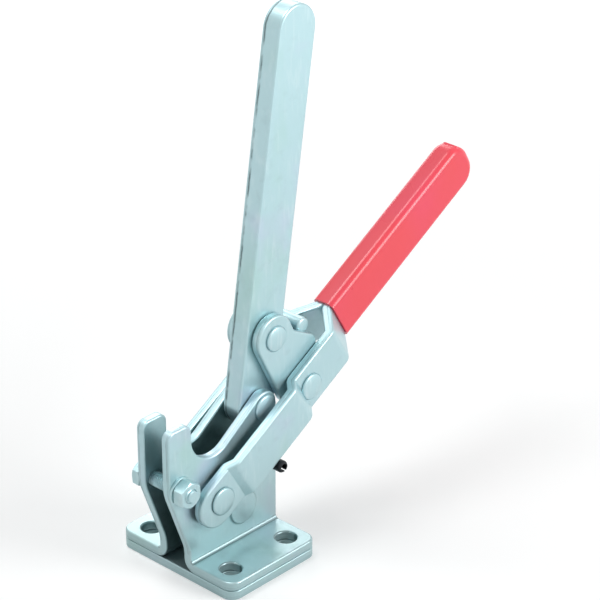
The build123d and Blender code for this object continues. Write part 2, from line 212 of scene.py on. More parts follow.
class ClampShapeSettings(bpy.types.PropertyGroup):
    """Sizes that the pieces are finished with."""

    crank_lobe: length("Crank lobe", "Radius of a link round the crank rivet", 9.5)
    sheet_round: length("Sheet edge round", "Radius on the edges of the plates and links", 0.8)
    arm_round: length("Arm edge round", "Radius on the long edges of the arm", 0.9)
    rivet_round: length("Rivet rim round", "Radius on the rim of each rivet head", 0.6)
    rivet_crown: length("Rivet crown", "How far a rivet head's middle stands above its rim", 0.7)
    rivet_shank: length("Rivet shank", "Diameter of a rivet between its heads", 7.0)
    head_height: length("Rivet head height", "Height of each rivet head", 1.5)
    handle_angle: bpy.props.FloatProperty(
        name="Open handle angle",
        description="Rise of the handle's middle line with the clamp open",
        default=atan2((LINK_PIVOT - HANDLE_PIVOT).z, (LINK_PIVOT - HANDLE_PIVOT).x)
        + radians(0.58),
        subtype="ANGLE",
    )
    thread_pitch: length("Thread pitch", "Pitch of the horn bolt's thread", 1.0)
    grip_wall: length("Grip wall", "Thickness of the dipped coat", 1.4)
    grip_round: length("Grip edge round", "Radius along the grip's long edges", 3.0)
    grip_tip: length("Grip tip round", "Radius of the grip's two tip corners", 8.4)


class ClampFinishSettings(bpy.types.PropertyGroup):
    """Colours that the pieces are finished with."""

    zinc: tint("Zinc", "Main colour of the plating", (0.47, 0.67, 0.71))
    zinc_cool: tint("Zinc, cool patches", "Violet cast in the plating", (0.53, 0.61, 0.75))
    zinc_green: tint("Zinc, green patches", "Green cast in the plating", (0.40, 0.62, 0.58))
    # Colour of the painted shade on the inner sides between the plates.
    painted_inner_shade: tint("Painted inner shade", "Film on the inner sides round the pivots", (0.05, 0.13, 0.135))
    black: tint("Black oxide", "Colour of the spring pin", (0.018, 0.02, 0.024))
    vinyl: tint("Vinyl", "Main colour of the dipped grip", (0.92, 0.075, 0.135))
    vinyl_deep: tint("Vinyl, deep", "Deeper cast in the dipped grip", (0.92, 0.075, 0.10))


# ---------------------------------------------------------------- modelling helpers
def deselect_all():
    if bpy.context.object and bpy.context.object.mode != "OBJECT":
        bpy.ops.object.mode_set(mode="OBJECT")
    bpy.ops.object.select_all(action="DESELECT")


def make_active(piece):
    deselect_all()
    piece.select_set(True)
    bpy.context.view_layer.objects.active = piece


def edit(piece, kind="VERT"):
    """Opens a mesh in edit mode, to select its vertices, edges or faces."""
    make_active(piece)
    bpy.ops.object.mode_set(mode="EDIT")
    bpy.ops.mesh.select_mode(type=kind)


def leave_edit():
    bpy.ops.object.mode_set(mode="OBJECT")


def edit_whole(piece):
    """Opens a mesh in edit mode with all of it selected."""
    edit(piece)
    bpy.ops.mesh.select_all(action="SELECT")


def turn_outward():
    """Points the faces of the mesh being edited outwards, and leaves edit mode."""
    bpy.ops.mesh.select_all(action="SELECT")
    bpy.ops.mesh.normals_make_consistent(inside=False)
    leave_edit()


def extrude(step):
    bpy.ops.mesh.extrude_region_move(TRANSFORM_OT_translate={"value": step})


def bevel_selected(radius, segments):
    bpy.ops.mesh.bevel(
        offset=radius, segments=segments, profile=0.5, affect="EDGES", clamp_overlap=False
    )


def clear_selection(piece, kind):
    """Leaves nothing selected in a mesh, so that code can select in it."""
    edit(piece, kind)
    bpy.ops.mesh.select_all(action="DESELECT")
    leave_edit()


def select_points(piece, test):
    """Selects a mesh's points by their place, and the edges and faces between them."""
    clear_selection(piece, "VERT")
    for vertex in piece.data.vertices:
        vertex.select = test(vertex.co)
    bpy.ops.object.mode_set(mode="EDIT")


def select_edges(piece, test):
    """Selects a mesh's edges by their two ends."""
    clear_selection(piece, "EDGE")
    points = piece.data.vertices
    for line in piece.data.edges:
        line.select = test(*(points[number].co for number in line.vertices))
    bpy.ops.object.mode_set(mode="EDIT")


def select_faces(piece, test):
    """Selects a mesh's faces by their middle and normal."""
    clear_selection(piece, "FACE")
    for face in piece.data.polygons:
        face.select = test(face.center, face.normal)
    bpy.ops.object.mode_set(mode="EDIT")


def place_in_mesh(piece):
    """Leaves the piece at the origin, unturned and unscaled."""
    make_active(piece)
    bpy.ops.object.transform_apply(location=True, rotation=True, scale=True)


def new_piece(name):
    """Names the primitive just added and puts its place in its mesh."""
    piece = bpy.context.active_object
    piece.name = name
    place_in_mesh(piece)
    return piece


def mend_normals(piece):
    edit_whole(piece)
    bpy.ops.mesh.remove_doubles(threshold=0.001 * MM)
    turn_outward()


def round_edges(piece, radius, segments, limit=SHARP_ANGLE):
    """Rounds the edges that turn more than a limit, in degrees."""
    make_active(piece)
    bevel = piece.modifiers.new("round", "BEVEL")
    bevel.width = radius
    bevel.segments = segments
    bevel.limit_method = "ANGLE"
    bevel.angle_limit = radians(limit)
    bevel.use_clamp_overlap = False
    bpy.ops.object.modifier_apply(modifier=bevel.name)


def round_rim(piece, radius, segments, spared=()):
    """Rounds a sheet's sharp edges in edit mode, but for those round the places spared."""
    edit(piece, "EDGE")
    bpy.ops.mesh.select_all(action="DESELECT")
    bpy.ops.mesh.edges_select_sharp(sharpness=radians(SHARP_ANGLE))
    leave_edit()
    points = piece.data.vertices
    for line in piece.data.edges:
        ends = [on_middle(points[number].co) for number in line.vertices]
        for place, reach in spared:
            if all((end - place).length < reach for end in ends):
                line.select = False
    bpy.ops.object.mode_set(mode="EDIT")
    bevel_selected(radius, segments)
    leave_edit()


def smooth(piece, limit=32):
    """Smooth shading that keeps flat faces flat."""
    make_active(piece)
    bpy.ops.object.shade_smooth_by_angle(angle=radians(limit))
    even = piece.modifiers.new("even", "WEIGHTED_NORMAL")
    even.keep_sharp = True
    bpy.ops.object.modifier_apply(modifier=even.name)


def cut_with(piece, tool, operation="DIFFERENCE"):
    """Cuts one piece with another and deletes the tool."""
    make_active(piece)
    cut = piece.modifiers.new("cut", "BOOLEAN")
    cut.operation = operation
    cut.solver = "EXACT"
    cut.object = tool
    bpy.ops.object.modifier_apply(modifier=cut.name)
    make_active(tool)
    bpy.ops.object.delete()
    make_active(piece)


def drill(piece, place, diameter, reach=DRILL_LENGTH):
    """Drills a round hole along Y, with the drill's middle at a place."""
    deselect_all()
    bpy.ops.mesh.primitive_cylinder_add(
        vertices=64, radius=diameter / 2, depth=reach, location=place, rotation=(pi / 2, 0, 0)
    )
    cut_with(piece, bpy.context.active_object)


def merge_into(piece, other):
    """Joins another mesh to a piece as one object."""
    make_active(piece)
    other.select_set(True)
    bpy.ops.object.join()


def chain(name, points):
    """A chain of edges through the points, drawn on from a single point."""
    deselect_all()
    bpy.ops.mesh.primitive_plane_add(size=MM, location=points[0])
    piece = new_piece(name)
    edit_whole(piece)
    bpy.ops.mesh.merge(type="CENTER")
    for here, there in zip(points, points[1:]):
        extrude(Vector(there) - Vector(here))
    leave_edit()
    return piece


def section_chain(name, centre, outline):
    """A chain through an outline of radius and Y pairs beside a line along Y."""
    return chain(name, [(centre.x + radius, y, centre.z) for radius, y in outline])


def turned(name, centre, outline, steps=64):
    """A piece turned round a line along Y from an outline of radius and Y pairs."""
    piece = section_chain(name, centre, outline)
    edit_whole(piece)
    bpy.ops.mesh.spin(steps=steps, angle=2 * pi, center=on_middle(centre), axis=ACROSS)
    leave_edit()
    mend_normals(piece)
    return piece


def tangent(first, second):
    """The angle of an outline's normal where it runs straight from one disc to the next."""
    here, radius = first
    there, other = second
    step = there - here
    return atan2(step.z, step.x) - acos((radius - other) / step.length)


def arc(disc, begin, end):
    """Points round a disc from one angle on to the next."""
    centre, radius = disc
    sweep = (end - begin) % (2 * pi)
    steps = max(2, int(sweep / radians(4)))
    return [centre + radius * heading(begin + sweep * step / steps) for step in range(steps + 1)]


def crossing(first, first_turn, second, second_turn):
    """Where the tangents of two discs at two angles cross."""
    one, two = heading(first_turn), heading(second_turn)
    reach = one.dot(first[0]) + first[1]
    far = two.dot(second[0]) + second[1]
    size = one.x * two.z - one.z * two.x
    x = (reach * two.z - far * one.z) / size
    z = (one.x * far - two.x * reach) / size
    return Vector((x, 0, z))


def blanked(name, outline, from_y, to_y):
    """A flat sheet along Y cut to an outline."""
    piece = chain(name, [(point.x, from_y, point.z) for point in outline])
    edit_whole(piece)
    bpy.ops.mesh.edge_face_add()
    extrude((0, to_y - from_y, 0))
    turn_outward()
    return piece


def mirrored_across(piece, name):
    """A copy of a near-side piece on the far side, with its own mesh."""
    make_active(piece)
    bpy.ops.object.duplicate()
    copy = bpy.context.active_object
    copy.name = name
    edit_whole(copy)
    bpy.ops.transform.resize(value=(1, -1, 1), center_override=(0, 0, 0))
    bpy.ops.mesh.flip_normals()
    leave_edit()
    return copy


def hexagon(name, place, flats, from_y, to_y):
    """A hexagon along Y with its corners turned off at both ends."""
    deselect_all()
    bpy.ops.mesh.primitive_cylinder_add(
        vertices=6,
        radius=flats / 2 / cos(pi / 6),
        depth=to_y - from_y,
        location=(place.x, (from_y + to_y) / 2, place.z),
        rotation=(pi / 2, 0, 0),
    )
    piece = new_piece(name)
    face = flats / 2 * 0.97
    corner = flats / 2 * 1.25
    fall = (corner - face) * tan(radians(30))
    outline = [
        (0, from_y),
        (face, from_y),
        (corner, from_y + fall),
        (corner, to_y - fall),
        (face, to_y),
        (0, to_y),
    ]
    cut_with(piece, turned("corner_tool", place, outline), "INTERSECT")
    return piece


def hand_over(piece, body, slot, finish, *nodes):
    """Gives a finished piece its material, its body and the solids that it stands for."""
    piece.data.materials.clear()
    piece.data.materials.append(finish)
    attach(piece, body)
    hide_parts(*nodes)


def from_solid(node, name):
    """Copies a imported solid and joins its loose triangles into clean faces."""
    make_active(frame["nodes"][node])
    bpy.ops.object.duplicate()
    piece = bpy.context.active_object
    piece.name = name
    bpy.ops.object.parent_clear(type="CLEAR_KEEP_TRANSFORM")
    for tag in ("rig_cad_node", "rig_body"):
        del piece[tag]
    edit_whole(piece)
    bpy.ops.mesh.customdata_custom_splitnormals_clear()
    bpy.ops.mesh.remove_doubles(threshold=0.002 * MM)
    bpy.ops.mesh.dissolve_limited(angle_limit=radians(0.6), delimit=set())
    leave_edit()
    return piece


# ---------------------------------------------------------------- material helpers
def add(tree, kind, **settings):
    """Adds a shader node and sets its named properties."""
    node = tree.nodes.new(kind)
    for key, value in settings.items():
        setattr(node, key, value)
    return node


def feed(tree, source, node, socket):
    """Joins an output to a named or numbered input, or sets that input to a value."""
    target = node.inputs[socket]
    if isinstance(source, bpy.types.NodeSocket):
        tree.links.new(source, target)
    else:
        target.default_value = source


def feed_all(tree, node, **sources):
    """Feeds the inputs named, with _ for a space."""
    for label, source in sources.items():
        feed(tree, source, node, label.replace("_", " "))


def maths(tree, operation, *values):
    node = add(tree, "ShaderNodeMath", operation=operation)
    for number, value in enumerate(values):
        feed(tree, value, node, number)
    return node.outputs[0]


def product(tree, value, *factors):
    for factor in factors:
        value = maths(tree, "MULTIPLY", value, factor)
    return value


def scaled_onto(tree, value, factor, base):
    """A value times a factor, added to a base."""
    return maths(tree, "MULTIPLY_ADD", value, factor, base)


def ramp_between(tree, value, low, high, to_low=0.0, to_high=1.0, easing="SMOOTHSTEP"):
    """Turns a value between two levels into another range, clamped at both ends."""
    node = add(tree, "ShaderNodeMapRange", interpolation_type=easing)
    for number, source in enumerate((value, low, high, to_low, to_high)):
        feed(tree, source, node, number)
    return node.outputs[0]


def mixed(tree, share, first, second):
    """Two colours mixed by a share of the second."""
    node = add(tree, "ShaderNodeMix", data_type="RGBA")
    feed(tree, share, node, 0)
    feed(tree, first, node, 6)
    feed(tree, second, node, 7)
    return node.outputs[2]


def noise(tree, place, scale, detail=2.0, rough=0.5):
    node = add(tree, "ShaderNodeTexNoise")
    feed_all(tree, node, Vector=place, Scale=scale, Detail=detail, Roughness=rough)
    return node.outputs["Fac"]


def stretched(tree, place, scale):
    """Object coordinates with each axis scaled by its own amount."""
    node = add(tree, "ShaderNodeMapping")
    feed_all(tree, node, Vector=place, Scale=scale)
    return node.outputs[0]


def new_group(name, inputs, outputs):
    """An empty node group with named sockets. An input's kind may be its value, a number."""
    tree = bpy.data.node_groups.new(name, "ShaderNodeTree")
    for in_out, sockets in (("INPUT", inputs), ("OUTPUT", outputs)):
        for label, kind in sockets.items():
            value = kind if isinstance(kind, float) else None
            kind = "NodeSocketFloat" if value is not None else f"NodeSocket{kind}"
            socket = tree.interface.new_socket(name=label, in_out=in_out, socket_type=kind)
            if value is not None:
                socket.default_value = value
    return tree, add(tree, "NodeGroupInput").outputs, add(tree, "NodeGroupOutput")


def use_group(tree, group, **sources):
    """Places a group in a material and feeds the sockets named."""
    node = add(tree, "ShaderNodeGroup", node_tree=group)
    feed_all(tree, node, **sources)
    return node.outputs


def part_of(tree, vector, axis):
    split = add(tree, "ShaderNodeSeparateXYZ")
    feed(tree, vector, split, 0)
    return split.outputs[axis]


def facing_sign(tree, axis):
    """How squarely a face looks along an axis, from -1 to 1."""
    return part_of(tree, add(tree, "ShaderNodeNewGeometry").outputs["Normal"], axis)


def facing(tree, axis):
    """How squarely a face looks either way along an axis, from 0 to 1."""
    return maths(tree, "ABSOLUTE", facing_sign(tree, axis))


def edge_on(tree, axis, low=0.35, high=0.6):
    """1 where a face looks away from an axis, as a sheet's rim does."""
    return ramp_between(tree, facing(tree, axis), low, high, 1, 0)


# ---------------------------------------------------------------- effects
@cache
def plating_group():
    """Bright zinc: broad cool and green casts, fine drawn lines, satin grain, faint rubs, and
    painted shade that darkens it towards the bottom.
    """
    tree, given, result = new_group(
        "zinc plating",
        {"Place": "Vector", "Main": "Color", "Cool": "Color", "Green": "Color", "Rub": 0.5},
        {"Color": "Color", "Roughness": "Float", "Height": "Float"},
    )
    place = given["Place"]
    tall, rubbed, drawn_out = (
        stretched(tree, place, scale) for scale in ((1.3, 0.8, 0.7), (2.2, 1, 0.35), (4, 4, 0.25))
    )
    cool = ramp_between(tree, noise(tree, place, 42, 2.5), 0.5, 0.72)
    green = ramp_between(tree, noise(tree, tall, 31, 3), 0.5, 0.75)
    spots = ramp_between(tree, noise(tree, place, 130, 3, 0.6), 0.5, 0.8)
    rubs = ramp_between(tree, noise(tree, rubbed, 260, 2), 0.5, 0.8)
    grain = noise(tree, place, 2600, 2)
    lines = noise(tree, drawn_out, 900, 2)
    # Painted shade: darker towards the bottom, fading out by 60 mm up.
    foot = ramp_between(tree, part_of(tree, place, "Z"), 4 * MM, 60 * MM, 0.5, 0)
    colour = mixed(tree, product(tree, cool, 0.7), given["Main"], given["Cool"])
    colour = mixed(tree, product(tree, green, 0.7), colour, given["Green"])
    colour = mixed(tree, product(tree, spots, 0.14), colour, DULL_SPOT)
    colour = mixed(tree, product(tree, rubs, given["Rub"], 0.35), colour, RUBBED_ZINC)
    colour = mixed(tree, foot, colour, FOOT_PAINTED_SHADE)
    rough = scaled_onto(tree, green, 0.06, scaled_onto(tree, spots, 0.12, 0.33))
    height = scaled_onto(tree, lines, 0.5, product(tree, grain, 0.5))
    feed_all(tree, result, Color=colour, Roughness=rough, Height=height)
    return tree


@cache
def sheared_group():
    """A blanked sheet's rim: smooth band, torn line and rougher broken band."""
    tree, given, result = new_group(
        "sheared rim",
        {"Place": "Vector", "Depth": 0.5, "Rim": 0.0, "Tear": 0.66, "Jaggedness": 0.2},
        {"Torn": "Float", "Broken": "Float", "Height": "Float"},
    )
    place = given["Place"]
    wander = maths(tree, "SUBTRACT", noise(tree, place, 190, 5, 0.7), 0.5)
    depth = scaled_onto(tree, wander, given["Jaggedness"], given["Depth"])
    off_line = maths(tree, "ABSOLUTE", maths(tree, "SUBTRACT", depth, given["Tear"]))
    line = ramp_between(tree, off_line, 0.01, 0.075, 1, 0)
    gaps = ramp_between(tree, noise(tree, place, 120, 2), 0.36, 0.56)
    torn = product(tree, line, gaps, given["Rim"])
    broken = product(tree, maths(tree, "GREATER_THAN", depth, given["Tear"]), given["Rim"])
    lumps = product(tree, noise(tree, place, 1500, 3, 0.6), broken, 1.5)
    height = scaled_onto(tree, torn, -2.5, lumps)
    feed_all(tree, result, Torn=torn, Broken=broken, Height=height)
    return tree


@cache
def painted_shade_group():
    """Painted shade on the sides that face the middle, strongest round the pivots."""
    tree, given, result = new_group(
        "painted inner shade",
        {"Place": "Vector", "Facing Y": 0.0, "Middle": "Vector", "Near": 0.025, "Far": 0.058},
        {"Film": "Float"},
    )
    place = given["Place"]
    outward = product(tree, part_of(tree, place, "Y"), given["Facing Y"])
    inner = ramp_between(tree, outward, -4.5 * MM, -2 * MM, 1, 0)
    apart = add(tree, "ShaderNodeVectorMath", operation="DISTANCE")
    feed(tree, place, apart, 0)
    feed(tree, given["Middle"], apart, 1)
    thick = ramp_between(tree, apart.outputs["Value"], given["Near"], given["Far"], 1, 0.15)
    streaks = ramp_between(tree, noise(tree, place, 90, 3), 0.3, 0.6, 0.8, 1)
    feed_all(tree, result, Film=product(tree, inner, thick, streaks))
    return tree


@cache
def vinyl_group():
    """Dipped vinyl: slow colour drift, and small sags in the coat."""
    tree, given, result = new_group(
        "dipped vinyl",
        {"Place": "Vector", "Main": "Color", "Deep": "Color"},
        {"Color": "Color", "Roughness": "Float", "Height": "Float"},
    )
    place = given["Place"]
    drift = ramp_between(tree, noise(tree, place, 28, 2), 0.3, 0.7)
    sag = noise(tree, stretched(tree, place, (0.6, 1, 0.6)), 60, 1.5)
    colour = mixed(tree, drift, given["Main"], given["Deep"])
    rough = scaled_onto(tree, sag, 0.08, 0.24)
    feed_all(tree, result, Color=colour, Roughness=rough, Height=sag)
    return tree


def painted_bend_shade(tree, place):
    """Painted shade: a dark line along the bend above a sheet's foot, a little paler in its
    middle.
    """
    curve = product(tree, facing(tree, "Y"), facing(tree, "Z"))
    rising = ramp_between(tree, curve, 0.02, 0.16)
    falling = ramp_between(tree, curve, 0.3, 0.46, 1, 0.55)
    across = maths(tree, "ABSOLUTE", part_of(tree, place, "Y"))
    near = maths(tree, "LESS_THAN", across, 20 * MM)
    low = maths(tree, "LESS_THAN", part_of(tree, place, "Z"), 14 * MM)
    return product(tree, rising, falling, near, low)


# ---------------------------------------------------------------- where sheared rims lie
def standing_rim(inner, outer, above):
    """The rim of a sheet that stands on edge, between two distances from the middle."""

    def find(tree, place):
        distance = maths(tree, "ABSOLUTE", part_of(tree, place, "Y"))
        depth = ramp_between(tree, distance, inner, outer, easing="LINEAR")
        high = maths(tree, "GREATER_THAN", part_of(tree, place, "Z"), above)
        return depth, product(tree, edge_on(tree, "Y"), high), STANDING_TEAR

    return find


def lying_rim(low, high):
    """The rim of a sheet that lies flat, between two heights."""

    def find(tree, place):
        height = part_of(tree, place, "Z")
        depth = ramp_between(tree, height, low, high, 1, 0, easing="LINEAR")
        under = maths(tree, "LESS_THAN", height, high)
        return depth, product(tree, edge_on(tree, "Z"), under), LYING_TEAR

    return find


def bar_rim(thickness):
    """The rim of a bar cut from one side to the other."""

    def find(tree, place):
        across = part_of(tree, place, "Y")
        depth = ramp_between(tree, across, -thickness / 2, thickness / 2, easing="LINEAR")
        return depth, edge_on(tree, "Y"), BAR_TEAR

    return find


def bent_rim(angle):
    """The rim of a handle plate, which follows the plate's bends along the handle."""

    def find(tree, place):
        x = maths(tree, "SUBTRACT", part_of(tree, place, "X"), HANDLE_PIVOT.x)
        z = maths(tree, "SUBTRACT", part_of(tree, place, "Z"), HANDLE_PIVOT.z)
        along = scaled_onto(tree, x, cos(angle), product(tree, z, sin(angle)))
        middle = PLATE_START
        for begin, end, shift in PLATE_BENDS:
            step = ramp_between(tree, along, begin, end, 0, shift, easing="LINEAR")
            middle = maths(tree, "ADD", middle, step)
        distance = maths(tree, "ABSOLUTE", part_of(tree, place, "Y"))
        offset = maths(tree, "SUBTRACT", distance, middle)
        half = PLATE_THICKNESS / 2
        depth = ramp_between(tree, offset, -half, half, easing="LINEAR")
        return depth, edge_on(tree, "Y", 0.2, 0.45), BENT_TEAR

    return find


# ---------------------------------------------------------------- finishes
def blank_material(name):
    """A new material with its Principled shader, its node tree and object coordinates."""
    material = bpy.data.materials.new(name)
    material.use_nodes = True
    tree = material.node_tree
    shader = tree.nodes["Principled BSDF"]
    place = add(tree, "ShaderNodeTexCoord").outputs["Object"]
    return material, tree, shader, place


def as_colour(values):
    return (*values, 1)


def add_bump(tree, shader, height, strength, distance):
    bump = add(tree, "ShaderNodeBump")
    feed_all(tree, bump, Strength=strength, Distance=distance, Height=height)
    feed(tree, bump.outputs[0], shader, "Normal")


@cache
def zinc(name, *rims, rub=0.5, shaded_bend=False):
    """Zinc plate. Each rim is a function that finds a sheared edge in the material."""
    colours = bpy.context.scene.clamp_finish
    material, tree, shader, place = blank_material(name)
    plating = use_group(
        tree,
        plating_group(),
        Place=place,
        Main=as_colour(colours.zinc),
        Cool=as_colour(colours.zinc_cool),
        Green=as_colour(colours.zinc_green),
        Rub=rub,
    )
    colour, rough, height = (plating[label] for label in ("Color", "Roughness", "Height"))
    facing_y = facing_sign(tree, "Y")
    # Painted shade: darkens the inner sides between the plates, most round the pivots.
    painted_inner_shade = use_group(
        tree, painted_shade_group(), Place=place, Facing_Y=facing_y, Middle=PAINTED_SHADE_MIDDLE
    )
    shade_share = product(tree, painted_inner_shade["Film"], PAINTED_SHADE_SHARE)
    colour = mixed(tree, shade_share, colour, as_colour(colours.painted_inner_shade))
    for find_rim in rims:
        depth, rim, (tear, wander, dark) = find_rim(tree, place)
        edge = use_group(
            tree,
            sheared_group(),
            Place=place,
            Depth=depth,
            Rim=rim,
            Tear=tear,
            Jaggedness=wander,
        )
        colour = mixed(tree, product(tree, edge["Broken"], 0.30), colour, BROKEN_RIM)
        colour = mixed(tree, product(tree, edge["Torn"], dark), colour, TORN_RIM)
        rough = scaled_onto(tree, edge["Broken"], 0.14, rough)
        height = maths(tree, "ADD", height, edge["Height"])
    # Painted shade along the bend above the foot.
    if shaded_bend:
        share = product(tree, painted_bend_shade(tree, place), 0.6)
        colour = mixed(tree, share, colour, BEND_PAINTED_SHADE)
    feed_all(tree, shader, Base_Color=colour, Roughness=rough, Metallic=ZINC_METALLIC)
    add_bump(tree, shader, height, 0.35, 0.04 * MM)
    return material


def black_oxide():
    material, tree, shader, place = blank_material("black_oxide")
    black = as_colour(bpy.context.scene.clamp_finish.black)
    worn = ramp_between(tree, noise(tree, place, 500, 4, 0.6), 0.56, 0.74)
    colour = mixed(tree, product(tree, worn, 0.35), black, WORN_OXIDE)
    rough = scaled_onto(tree, worn, -0.1, 0.42)
    feed_all(tree, shader, Base_Color=colour, Roughness=rough, Metallic=OXIDE_METALLIC)
    add_bump(tree, shader, noise(tree, place, 2200, 2), 0.3, 0.03 * MM)
    return material


def red_vinyl():
    colours = bpy.context.scene.clamp_finish
    material, tree, shader, place = blank_material("red_vinyl")
    coat = use_group(
        tree,
        vinyl_group(),
        Place=place,
        Main=as_colour(colours.vinyl),
        Deep=as_colour(colours.vinyl_deep),
    )
    feed_all(tree, shader, Base_Color=coat["Color"], Roughness=coat["Roughness"])
    add_bump(tree, shader, coat["Height"], 0.25, 0.4 * MM)
    return material


# ---------------------------------------------------------------- pieces
def shape():
    return bpy.context.scene.clamp_shape


class CLAMP_OT_stage(bpy.types.Operator):
    """Adds the floor, the soft lamps, the plain surroundings and the camera"""

    bl_idname = "clamp.stage"
    bl_label = "Stage"

    def execute(self, context):
        add_floor()
        add_surroundings(context.scene)
        for name, place, size, power in LAMPS:
            add_lamp(name, place, size, power)
        add_camera(context.scene)
        context.scene.view_settings.view_transform = "Standard"
        return {"FINISHED"}


def background_ray(tree):
    """1 where a ray from the camera, a gloss or a glass looks for the background."""
    path = add(tree, "ShaderNodeLightPath").outputs
    seen = maths(tree, "MAXIMUM", path["Is Camera Ray"], path["Is Glossy Ray"])
    return maths(tree, "MAXIMUM", seen, path["Is Transmission Ray"])


def add_floor():
    """A pale floor that keeps the clamp's shadow and runs out to white."""
    deselect_all()
    bpy.ops.mesh.primitive_plane_add(size=FLOOR_SIZE, location=(0, 0, 0))
    floor = bpy.context.active_object
    floor.name = "floor"
    material, tree, shader, place = blank_material("floor_white")
    feed_all(tree, shader, Base_Color=FLOOR_WHITE, Roughness=0.9, Specular_IOR_Level=0.0)
    apart = add(tree, "ShaderNodeVectorMath", operation="LENGTH")
    feed(tree, place, apart, 0)
    (near, near_glow), (far, far_glow) = FLOOR_GLOW_NEAR, FLOOR_GLOW_FAR
    level = ramp_between(tree, apart.outputs["Value"], near, far, near_glow, far_glow)
    glow = add(tree, "ShaderNodeEmission")
    feed(tree, product(tree, background_ray(tree), level), glow, "Strength")
    both = add(tree, "ShaderNodeAddShader")
    feed(tree, shader.outputs[0], both, 0)
    feed(tree, glow.outputs[0], both, 1)
    feed(tree, both.outputs[0], tree.nodes["Material Output"], "Surface")
    floor.data.materials.append(material)


def add_surroundings(scene):
    """White where it is seen, and a weak soft light round the clamp."""
    world = bpy.data.worlds.new("surroundings")
    world.use_nodes = True
    scene.world = world
    tree = world.node_tree
    strength = ramp_between(tree, background_ray(tree), 0, 1, SOFT_WORLD, 1.0)
    feed_all(tree, tree.nodes["Background"], Color=(1, 1, 1, 1), Strength=strength)


def add_lamp(name, place, size, power):
    deselect_all()
    bpy.ops.object.light_add(type="AREA", location=place)
    lamp = bpy.context.active_object
    lamp.name = name
    lamp.data.shape = "SQUARE"
    lamp.data.size = size
    lamp.data.energy = power
    toward = LAMP_AIM - Vector(place)
    lamp.rotation_euler = toward.to_track_quat("-Z", "Y").to_euler()


def add_camera(scene):
    """The camera looks down at the clamp from its near left corner."""
    bearing, rise = CAMERA_BEARING, CAMERA_RISE
    back = Vector((sin(bearing) * cos(rise), -cos(bearing) * cos(rise), sin(rise)))
    right = Vector((0, 0, 1)).cross(back).normalized()
    up = back.cross(right)
    deselect_all()
    bpy.ops.object.camera_add(location=CAMERA_TARGET + back * CAMERA_DISTANCE)
    camera = bpy.context.active_object
    camera.name = "camera"
    camera.data.sensor_width = SENSOR_WIDTH
    camera.data.lens = FOCAL_PIXELS / FRAME_PIXELS * SENSOR_WIDTH
    camera.rotation_euler = Matrix((right, up, back)).transposed().to_euler()
    scene.camera = camera


class CLAMP_OT_base_sheets(bpy.types.Operator):
    """Rounds and finishes the base plate and the two uprights bent up from it"""

    bl_idname = "clamp.base_sheets"
    bl_label = "Base sheets"

    def execute(self, context):
        edge = shape().sheet_round
        low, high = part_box("base_plate")
        plate = from_solid("base_plate", "base_sheet")
        round_rim(plate, edge * 0.6, 3)
        smooth(plate)
        finish = zinc("zinc_base_sheet", lying_rim(low.z, high.z))
        hand_over(plate, "base", "zinc", finish, "base_plate")
        inner = box_size("handle_bush").y / 2
        thickness = high.z - low.z
        finish = zinc(
            "zinc_upright",
            standing_rim(inner, inner + thickness, high.z + 2 * thickness),
            lying_rim(high.z, high.z + thickness),
            shaded_bend=True,
        )
        for node, name in (("near_side", "near_upright"), ("far_side", "far_upright")):
            upright = from_solid(node, name)
            round_rim(upright, edge, 4, [(ARM_PIVOT, BORE_REACH), (HANDLE_PIVOT, BORE_REACH)])
            smooth(upright)
            hand_over(upright, "base", "zinc", finish, node)
        return {"FINISHED"}


class CLAMP_OT_handle_plates(bpy.types.Operator):
    """Rounds and finishes the two bent handle plates"""

    bl_idname = "clamp.handle_plates"
    bl_label = "Handle plates"

    def execute(self, context):
        finish = zinc("zinc_handle_plate", bent_rim(shape().handle_angle))
        spared = [(HANDLE_PIVOT, BORE_REACH), (LINK_PIVOT, SPOT_FACE_REACH)]
        for node, name in (("near_handle", "near_lever"), ("far_handle", "far_lever")):
            plate = from_solid(node, name)
            round_rim(plate, shape().sheet_round, 4, spared)
            smooth(plate)
            hand_over(plate, "handle", "zinc", finish, node)
        return {"FINISHED"}


def corner_disc(reach, angle):
    """A link's corner, at a distance and an angle in degrees from the crank pivot."""
    return CRANK_PIVOT + reach * heading(radians(angle)), LINK_CORNER


class CLAMP_OT_links(bpy.types.Operator):
    """Models a link stretched round its pivots with a lug for the stop pin, and its mirror"""

    bl_idname = "clamp.links"
    bl_label = "Links"

    def execute(self, context):
        low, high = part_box("near_link")
        lobe = (CRANK_PIVOT, shape().crank_lobe)
        pivot = (LINK_PIVOT, LINK_EYE)
        heel, root, lug = (corner_disc(*corner) for corner in (LINK_HEEL, LUG_ROOT, LUG_TIP))
        outline = [
            *arc(heel, tangent(lobe, heel), tangent(heel, pivot)),
            *arc(pivot, tangent(heel, pivot), tangent(pivot, lug)),
            *arc(lug, tangent(pivot, lug), tangent(lug, root)),
            crossing(lug, tangent(lug, root), pivot, tangent(pivot, lobe)),
            *arc(lobe, tangent(pivot, lobe), tangent(lobe, heel)),
        ]
        near = blanked("near_link_sheet", outline, low.y, high.y)
        round_rim(near, shape().sheet_round, 4)
        for pin in (CRANK_PIVOT, LINK_PIVOT):
            drill(near, pin, shape().rivet_shank + RUNNING_FIT)
        seat = box_centre("stop_pin")
        seat.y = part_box("stop_pin")[0].y - RUNNING_FIT / 2 + DRILL_LENGTH / 2
        drill(near, seat, box_size("stop_pin").x + RUNNING_FIT)
        far = mirrored_across(near, "far_link_sheet")
        finish = zinc("zinc_link", standing_rim(-high.y, -low.y, 0))
        for link, node in ((near, "near_link"), (far, "far_link")):
            smooth(link)
            hand_over(link, "link", "zinc", finish, node)
        return {"FINISHED"}


